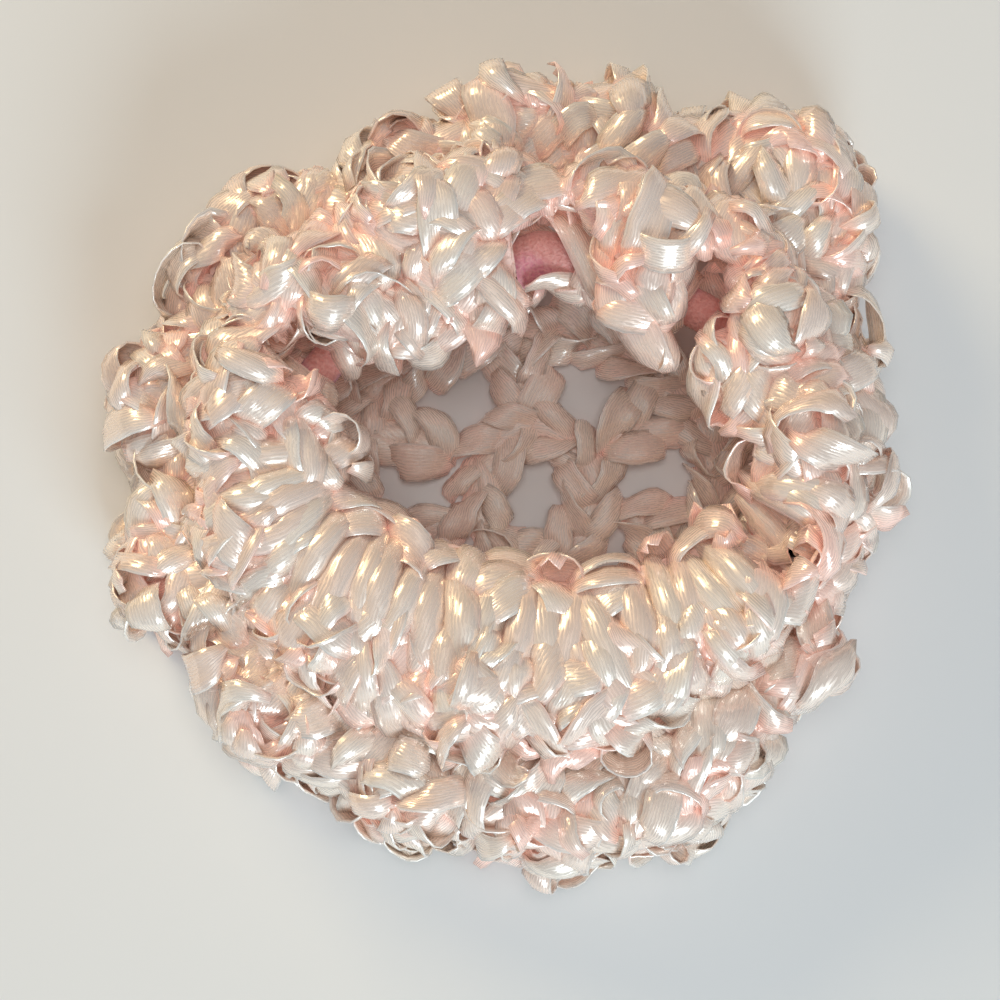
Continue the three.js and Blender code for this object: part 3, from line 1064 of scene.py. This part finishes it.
for side, seed in (("left", 5), ("right", 6)):
    work = RibbonWork()
    allowed = inner_side(side == "left")
    ruffle(work, inner_backing, INNER_SPACING, INNER_CLUMP, allowed, lip_order, no_extra, seed)
    ribbon = work.finish(f"inner_ruffle_ribbon_{side}", ruffle_satin)
    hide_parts("inner_ruffle")


# The lip in front of the mouth: long satin stitches side by side, rounded across their width. Each
# comes from inside the mouth, where it is worked over the elastic, up over the lip and down into
# the groove behind it.
LIP_FROM, LIP_TO = 186, 352
LIP_ROWS = ((-6.0, 15.5, 6.4), (1.5, 9.5, 13.0))
PROFILE_STEPS = 12
LOOK_DOWN_FROM = 40
MOUTH_RISE = 1.5 * MM
EDGE_DROP = 1.2 * MM
BEND = 1.25

depsgraph = bpy.context.evaluated_depsgraph_get()
inner_top = BVHTree.FromObject(inner_backing, depsgraph)
outer_top = BVHTree.FromObject(outer_backing, depsgraph)


def over_edge(angle, lean, start, reach, height):
    """The path of a ribbon laid outward over both tiers, from a distance to the elastic.

    Where a ray from LOOK_DOWN_FROM mm above meets neither tier, it goes down step by step.
    """
    spots = []
    for i in range(PROFILE_STEPS + 1):
        t = 2 * i / PROFILE_STEPS - 1
        middle = elastic_place(angle + lean * t)
        spot = middle + outward_at(middle) * (start + reach * (t + 1) / 2)
        above = spot + UP * LOOK_DOWN_FROM * MM
        hits = [top.ray_cast(above, -UP)[0] for top in (inner_top, outer_top)]
        heights = [hit.z for hit in hits if hit]
        missed = spots[-1].z - EDGE_DROP if t > 0 else mouth_centre.z + MOUTH_RISE
        spots.append(Vector((spot.x, spot.y, max(heights, default=missed))))
    for _ in range(3):
        between = [(a + 2 * b + c) / 4 for a, b, c in zip(spots, spots[1:], spots[2:])]
        spots = [spots[0]] + between + [spots[-1]]
    outward = outward_at(elastic_place(angle))

    def path(t):
        at = (t + 1) / 2 * PROFILE_STEPS
        i = min(int(at), PROFILE_STEPS - 1)
        spot = spots[i].lerp(spots[i + 1], at - i)
        slope = (spots[i + 1] - spots[i]).normalized()
        up = slope.cross(outward.cross(UP)).normalized()
        if up.z < 0:
            up = -up
        bend = BEND * t
        out = (slope * math.sin(bend) + up * math.cos(bend)).normalized()
        return spot + up * (height * (math.cos(bend) - 0.3)), out

    return path


def mouth_edge(angle):
    """The lip's rows start from the elastic itself."""
    return 0.0


def lay_row(work, from_degrees, to_degrees, rows, edge_at, loose, rng):
    """Lays rows of ribbons round the front, tidy where loose is 0 and slanting where it is 1.

    A row has its start past an edge and its reach, in mm, and the degrees from ribbon to ribbon.
    """
    for start, reach, pitch in rows:
        degrees = from_degrees
        while degrees < to_degrees:
            angle = math.radians(degrees)
            degrees += pitch * rng.uniform(0.7, 1.3)
            if round(degrees) % 360 in gap_degrees:
                continue
            path = over_edge(
                angle,
                rng.gauss(0, 0.04 + 0.1 * loose),
                edge_at(angle) + (start + rng.uniform(-1.0, 1.0)) * MM,
                reach * rng.uniform(0.88, 1.12) * MM,
                rng.uniform(3.2, 4.4) * MM,
            )
            work.lay(
                path,
                rng.uniform(2.4, 3.0) * MM,
                pinch=rng.uniform(0.3, 0.5),
                cup=rng.uniform(-1.1, -0.5) + 0.5 * loose,
                frill=rng.gauss(0, 0.2),
                gather=0.1,
                twist=(rng.gauss(0, 0.2 + 0.2 * loose), rng.gauss(0, 0.3 + 0.4 * loose)),
                phase=rng.uniform(0, 6.28),
                crumple=0.35 * MM,
            )


rng = random.Random(77)
lip_work = RibbonWork()
lay_row(lip_work, LIP_FROM, LIP_TO, LIP_ROWS, mouth_edge, 0, rng)
lip_ribbon = lip_work.finish("lip_ribbon", ruffle_satin)
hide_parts("inner_ruffle")


# The hanging ribbons: looser satin stitches in front, worked into the outer edge of the inner tier,
# that hang and slant over the outer tier and hide the seam between the two.
SEAM_FROM, SEAM_TO = 190, 350
SEAM_ROWS = ((-6.5, 9.5, 5.6), (-3.0, 8.5, 6.0))
EDGE_STEP = 0.5 * MM
NEAREST_EDGE = 8 * MM
FURTHEST_EDGE = 34 * MM


def tier_edge(angle):
    """How far out from the elastic the inner tier ends, at an angle round the mouth."""
    middle = elastic_place(angle)
    away = NEAREST_EDGE
    while away < FURTHEST_EDGE:
        spot = middle + outward_at(middle) * away
        if inner_top.ray_cast(spot + UP * LOOK_DOWN_FROM * MM, -UP)[0] is None:
            return away
        away += EDGE_STEP
    return away


seam_work = RibbonWork()
lay_row(seam_work, SEAM_FROM, SEAM_TO, SEAM_ROWS, tier_edge, 1, rng)
seam_ribbon = seam_work.finish("hanging_ribbons", ruffle_satin)
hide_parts("outer_ruffle")


# The low stitches: short satin stitches that lie flat on the posts, worked straight into them. One
# is laid wherever the backing would show between the others, seen from any of the outlooks, which
# are rounds of directions at a tilt each. Both heights over the posts are in mm.
OUTLOOK_ROUNDS = ((90, 1), (62, 6), (35, 8), (8, 10), (-20, 8), (-55, 6))
LOW_SPACING = 2.3 * MM
LOW_PASSES = 2
FACES_OUTLOOK = 0.25
ON_POSTS = 0.4
LOOK_FROM = 0.3

outlooks = []
for tilt, turns in OUTLOOK_ROUNDS:
    tilted = Vector((math.cos(math.radians(tilt)), 0, math.sin(math.radians(tilt))))
    for k in range(turns):
        outlooks.append(Matrix.Rotation(math.radians(360 * k / turns), 3, "Z") @ tilted)


def lay_low(work, place, up, along, rng):
    """Lays one flat stitch right on the backing."""
    work.lay(
        arch(place, up, along, rng.uniform(3.8, 5.0) * MM, rng.uniform(1.6, 2.4) * MM, 1.25),
        rng.uniform(2.4, 3.0) * MM,
        pinch=rng.uniform(0.2, 0.5),
        cup=rng.uniform(-0.4, 0.1),
        frill=rng.gauss(0, 0.2),
        gather=rng.uniform(0.08, 0.25),
        twist=(rng.gauss(0, 0.25), rng.gauss(0, 0.4)),
        phase=rng.uniform(0, 6.28),
        crumple=rng.uniform(0.15, 0.4) * MM,
        blunt=rng.uniform(2.4, 5.0),
        root=(place, up),
    )


rng = random.Random(9)
for backing_piece, name, node in (
    (outer_backing, "outer_low_ribbons", "outer_ruffle"),
    (inner_backing, "inner_low_ribbons", "inner_ruffle"),
):
    low_work = RibbonWork()
    for _ in range(LOW_PASSES):
        all_laid = bmesh.new()
        for other in ribbon_pieces + [outer_backing, inner_backing]:
            all_laid.from_mesh(other.data)
        all_laid.from_mesh(low_work.scrap_of())
        cover = BVHTree.FromBMesh(all_laid)
        all_laid.free()
        for place, up in seats_on(backing_piece, LOW_SPACING, lambda place, up: True, rng):
            views = (view for view in outlooks if view.dot(up) > FACES_OUTLOOK)
            start = place + up * LOOK_FROM * MM
            seen = any(cover.ray_cast(start, view)[0] is None for view in views)
            if seen and not over_gap(place, *LOW_CLEAR):
                along = Matrix.Rotation(rng.uniform(0, 6.28), 3, up) @ up.orthogonal().normalized()
                lay_low(low_work, place + up * ON_POSTS * MM, up, along, rng)
    low_ribbon = low_work.finish(name, ruffle_satin)
    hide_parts(node)
